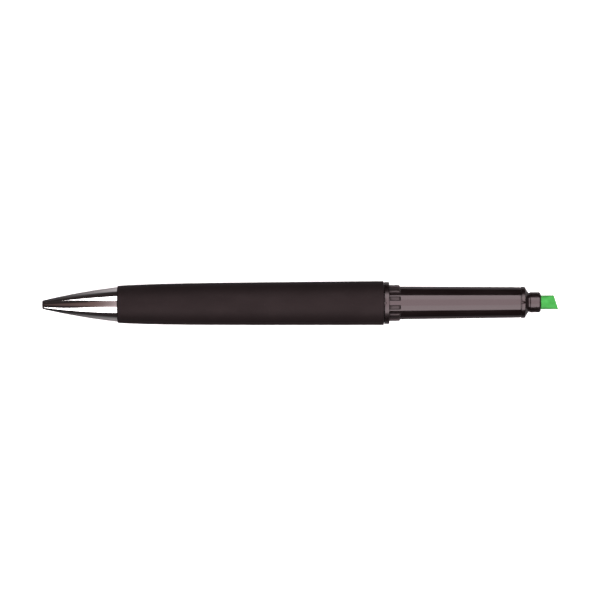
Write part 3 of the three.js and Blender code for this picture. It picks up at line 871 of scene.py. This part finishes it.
def emitter(name, near, far, left, glow):
    """A softbox as a curved sheet round the pen's axis, from left to LIGHT_RIGHT_END in metres. near(x) and
    far(x) are its angles from straight up, in degrees. glow is its light as red, green and blue. Returns its
    material and its emission node."""
    work = bmesh.new()
    columns = []
    for x in spread(left, LIGHT_RIGHT_END, 80):
        first, last = near(x), far(x)
        if first * last > 0 and abs(first) >= abs(last):
            first = last * 0.999
        column = []
        for degrees in spread(first, last, 8):
            turn = math.radians(degrees)
            y = LIGHT_DISTANCE * math.sin(turn)
            column.append(work.verts.new((x, y, AXIS_Z + LIGHT_DISTANCE * math.cos(turn))))
        columns.append(column)
    for column, following in zip(columns, columns[1:]):
        for i in range(len(column) - 1):
            work.faces.new((column[i], column[i + 1], following[i + 1], following[i]))
    sheet = finish_mesh(name, work)
    made = bpy.data.materials.new(name)
    made.use_nodes = True
    nodes, links = made.node_tree.nodes, made.node_tree.links
    nodes.clear()
    lamp = nodes.new("ShaderNodeEmission")
    lamp.inputs["Color"].default_value = (*glow, 1)
    output = nodes.new("ShaderNodeOutputMaterial")
    links.new(lamp.outputs["Emission"], output.inputs["Surface"])
    sheet.data.materials.append(made)
    sheet.visible_camera = False
    return made, lamp


def dimmed(made, lamp, dark_end, full_end, dim, full):
    """Makes an emitter's light grow along X, from dim at one place to full at another, and sooner at its
    front."""
    parts = own_place(made)
    along = share_of(made, parts["X"], dark_end, full_end)
    front = share_of(made, parts["Y"], PANEL_LIFT_FROM, PANEL_LIFT_TO)
    front_lift = maths(made, "MULTIPLY", maths(made, "POWER", front, 3), PANEL_LIFT)
    share = maths(made, "MULTIPLY", along, maths(made, "ADD", along, front_lift))
    made.node_tree.links.new(mixed(made, share, (*dim, 1), (*full, 1)), lamp.inputs["Color"])


def studio():
    """Two long softboxes, and a panel between them that dims to a warm glow over the nose. The softboxes
    narrow to the left, as the nose's reflections do."""
    def past(x, limit):
        """How far a place lies to the left of a limit."""
        return max(0.0, limit - x)

    def back_near(x):
        return PANEL_FAR + 1200 * past(x, NOSE_MOUTH_LIGHT) ** 2

    def front_near(x):
        return PANEL_NEAR - 1650 * past(x, NOSE_MIDDLE_LIGHT) ** 2

    def front_far(x):
        return max(FRONT_LOWEST, FRONT_FAR - 115 * past(x, NOSE_MOUTH_LIGHT))

    emitter("softbox_back", back_near, lambda x: BACK_FAR, BACK_LEFT_END, SOFTBOX_GLOW)
    emitter("softbox_front", front_near, front_far, FRONT_LEFT_END, SOFTBOX_GLOW)
    made, lamp = emitter("panel", lambda x: PANEL_NEAR, lambda x: PANEL_FAR, PANEL_LEFT_END, PANEL_GLOW)
    dimmed(made, lamp, PANEL_LEFT_END, PANEL_FULL_AT, PANEL_DIM_GLOW, PANEL_GLOW)
    for side in (-1, 1):
        edge_card(side)


def edge_card(side):
    """A low dark card beside the pen, seen only in its reflections, which gives its flanks a dark edge."""
    left, right = CARD_ENDS
    low, high = CARD_HEIGHTS
    y = side * CARD_DISTANCE
    work = bmesh.new()
    corners = [(left, y, low), (right, y, low), (right, y, high), (left, y, high)]
    work.faces.new([work.verts.new(corner) for corner in corners])
    card = finish_mesh("edge_card_" + ("front" if side < 0 else "back"), work)
    made, shader = material("card", Roughness=0.9)
    weave = grain(made, (900, 900, 900), 2)
    tone = ramp(made, weave, [(0.3, (0.010, 0.008, 0.008)), (0.7, (0.014, 0.011, 0.011))])
    link(made, tone, shader, "Base Color")
    card.data.materials.append(made)
    card.visible_camera = False
    card.visible_diffuse = False
    card.visible_shadow = False
    card.visible_transmission = False


def floor_disc(name, depth, front_tone, back_tone, nose_shade_share, glow):
    """A round sheet just under the pen. Any change in its tone is painted shade: the tone runs from the near
    side to the far side, and falls to a share of itself beside the nose. It may glow."""
    work = bmesh.new()
    bmesh.ops.create_circle(work, cap_ends=True, segments=96, radius=FLOOR_RADIUS)
    disc = finish_mesh(name, work)
    disc.location.z = -depth
    made, shader = material(name, Roughness=0.9, Specular_IOR_Level=0.0)
    parts = own_place(made)
    across = share_of(made, parts["Y"], -FLOOR_TONE_REACH, FLOOR_TONE_REACH)
    along = share_of(made, parts["X"], NOSE_SHADE_FROM, NOSE_SHADE_TO)
    # Painted shade: the tone changes across Y and falls beside the nose.
    side_painted_shade = ramp(made, across, [(0.0, front_tone), (1.0, back_tone)])
    nose_painted_shade = ramp(made, along, [(0.0, nose_shade_share), (1.0, 1.0)])
    tone = mixed(made, 1.0, side_painted_shade, nose_painted_shade, "MULTIPLY")
    tooth = ramp(made, grain(made, (400, 400, 400), 3), [(0.3, 0.98), (0.7, 1.0)])
    shader.inputs["Emission Color"].default_value = (1, 1, 1, 1)
    shader.inputs["Emission Strength"].default_value = glow
    link(made, mixed(made, 1.0, tone, tooth, "MULTIPLY"), shader, "Base Color")
    disc.data.materials.append(made)
    disc.visible_diffuse = False
    return disc


def floor():
    """A pale tabletop, and a darker copy of it that only the pen's reflections see, which paints shade round
    the pen into them.
    """
    table_top = floor_disc("table_top", 0.00004, 0.9, 0.9, 1.0, 0.35)
    table_top.visible_glossy = False
    # Reflection-only floor whose dark tones are painted shade.
    painted_shade_floor = floor_disc("table_reflected", 0.00002, 0.10, 0.24, 0.12, 0.0)
    painted_shade_floor.visible_camera = False
    painted_shade_floor.visible_shadow = False


def world():
    """A dim warm room, a little lighter overhead. The camera sees it as a pale backdrop."""
    room = bpy.data.worlds.new("room")
    bpy.context.scene.world = room
    room.use_nodes = True
    nodes, links = room.node_tree.nodes, room.node_tree.links
    nodes.clear()
    place = nodes.new("ShaderNodeTexCoord")
    parts = nodes.new("ShaderNodeSeparateXYZ")
    tones = nodes.new("ShaderNodeValToRGB")
    tones.color_ramp.elements[0].position = 0.84
    tones.color_ramp.elements[0].color = (0.026, 0.020, 0.020, 1)
    tones.color_ramp.elements[1].position = 0.93
    tones.color_ramp.elements[1].color = (0.15, 0.095, 0.088, 1)
    dim = nodes.new("ShaderNodeBackground")
    pale = nodes.new("ShaderNodeBackground")
    pale.inputs["Color"].default_value = (1, 1, 1, 1)
    ray = nodes.new("ShaderNodeLightPath")
    choice = nodes.new("ShaderNodeMixShader")
    output = nodes.new("ShaderNodeOutputWorld")
    links.new(place.outputs["Generated"], parts.inputs["Vector"])
    links.new(parts.outputs["Z"], tones.inputs["Fac"])
    links.new(tones.outputs["Color"], dim.inputs["Color"])
    links.new(ray.outputs["Is Camera Ray"], choice.inputs["Fac"])
    links.new(dim.outputs["Background"], choice.inputs[1])
    links.new(pale.outputs["Background"], choice.inputs[2])
    links.new(choice.outputs["Shader"], output.inputs["Surface"])


def camera():
    data = bpy.data.cameras.new("camera")
    data.sensor_width = SENSOR_WIDTH
    data.lens = SENSOR_WIDTH * CAMERA_HEIGHT / (VIEW_WIDTH * PEN_LENGTH * MM)
    data.clip_start = 0.05
    data.clip_end = 20
    seat = bpy.data.objects.new("camera", data)
    seat.location = (CAMERA_AIM[0], CAMERA_AIM[1], AXIS_Z + CAMERA_HEIGHT)
    seat.rotation_euler = (0, 0, CAMERA_ROLL)
    bpy.context.scene.collection.objects.link(seat)
    bpy.context.scene.camera = seat


# ---- Assembly ----

def dress(piece, finishes, body, slot, *nodes):
    """Gives a new piece its materials and its body, and hides the CAD nodes that it stands for. The slot is
    not used.
    """
    for finish in finishes:
        piece.data.materials.append(finish)
    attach(piece, body)
    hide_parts(*nodes)
    return piece


def repaint(node, finish):
    """Gives a CAD node a better material."""
    thing = frame["nodes"][node]
    thing.data.materials.clear()
    thing.data.materials.append(finish)


camera()
floor()
studio()
world()
bpy.context.scene.view_settings.view_transform = "Standard"

shell_gloss = gloss_black("shell_gloss", 0.06, 0.11, 4e-6)
ring_gloss = gloss_black("ring_gloss", 0.2, 0.3, 3e-6)
rib_satin = gloss_black("rib_satin", 0.34, 0.46, 1.5e-6, 0.36)
holder_gloss = gloss_black("holder_gloss", 0.15, 0.3, 8e-6)
# Painted shade for the vent hole: the same black with almost no reflection, so the hole reads dark.
vent_painted_shade = gloss_black("vent_painted_shade", 0.8, 0.95, 1e-6, 0.02)
brass = turned_metal("turned_brass", (0.45, 0.31, 0.12), (0.62, 0.45, 0.20), 0.2, 0.34)
steel = turned_metal("drawn_steel", (0.40, 0.41, 0.42), (0.52, 0.53, 0.54), 0.18, 0.34)
ivory = moulded("ivory_plastic", (0.66, 0.63, 0.55), (0.72, 0.69, 0.61), 0.38, 0.5)
grey = moulded("grey_plastic", (0.24, 0.245, 0.25), (0.30, 0.305, 0.31), 0.4, 0.52)
film = moulded("clear_film", (0.76, 0.82, 0.77), (0.82, 0.87, 0.83), 0.16, 0.26)
seal_rubber = moulded("seal_rubber", (0.009, 0.009, 0.009), (0.014, 0.014, 0.014), 0.55, 0.75)
ink_paste = moulded("ink_paste", (0.006, 0.012, 0.045), (0.010, 0.020, 0.065), 0.2, 0.35)
grease_paste = moulded("grease_paste", (0.62, 0.56, 0.28), (0.72, 0.66, 0.36), 0.25, 0.4)
fibres = fibre_bundle()

dress(nose_cone(), [chrome_plate()], "barrel_assembly", "chrome", "nose_cone")
dress(barrel(), [soft_touch()], "barrel_assembly", "soft_black", "barrel")
dress(end_ring(), [ring_gloss], "barrel_assembly", "gloss_black", "rear_bush")
dress(highlighter_shell(), [shell_gloss, rib_satin], "highlighter_module", "gloss_black", "highlighter_body")
dress(nib_grip(), [holder_gloss, vent_painted_shade], "highlighter_module", "gloss_black", "nib_holder")
dress(felt_nib(), [felt()], "highlighter_module", "green_felt", "highlighter_nib")
dress(point_cone(), [brass], "refill_carriage", "brass", "refill_point")
dress(point_ball(), [steel], "ball", "steel", "writing_ball")

spring = dress(spring_coil(), [steel], "barrel_assembly", "steel", "return_spring")
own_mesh(spring)

repaint("front_bush", brass)
repaint("mechanism_housing", ivory)
repaint("ink_reservoir", fibres)
repaint("reservoir_wrap", film)
repaint("drive_spindle", grey)
repaint("spindle_o_ring", seal_rubber)
repaint("retaining_clip", steel)
repaint("thrust_washer", brass)
repaint("cam_follower", ivory)
repaint("refill_tube", ivory)
repaint("refill_ink", ink_paste)
repaint("refill_grease_plug", grease_paste)
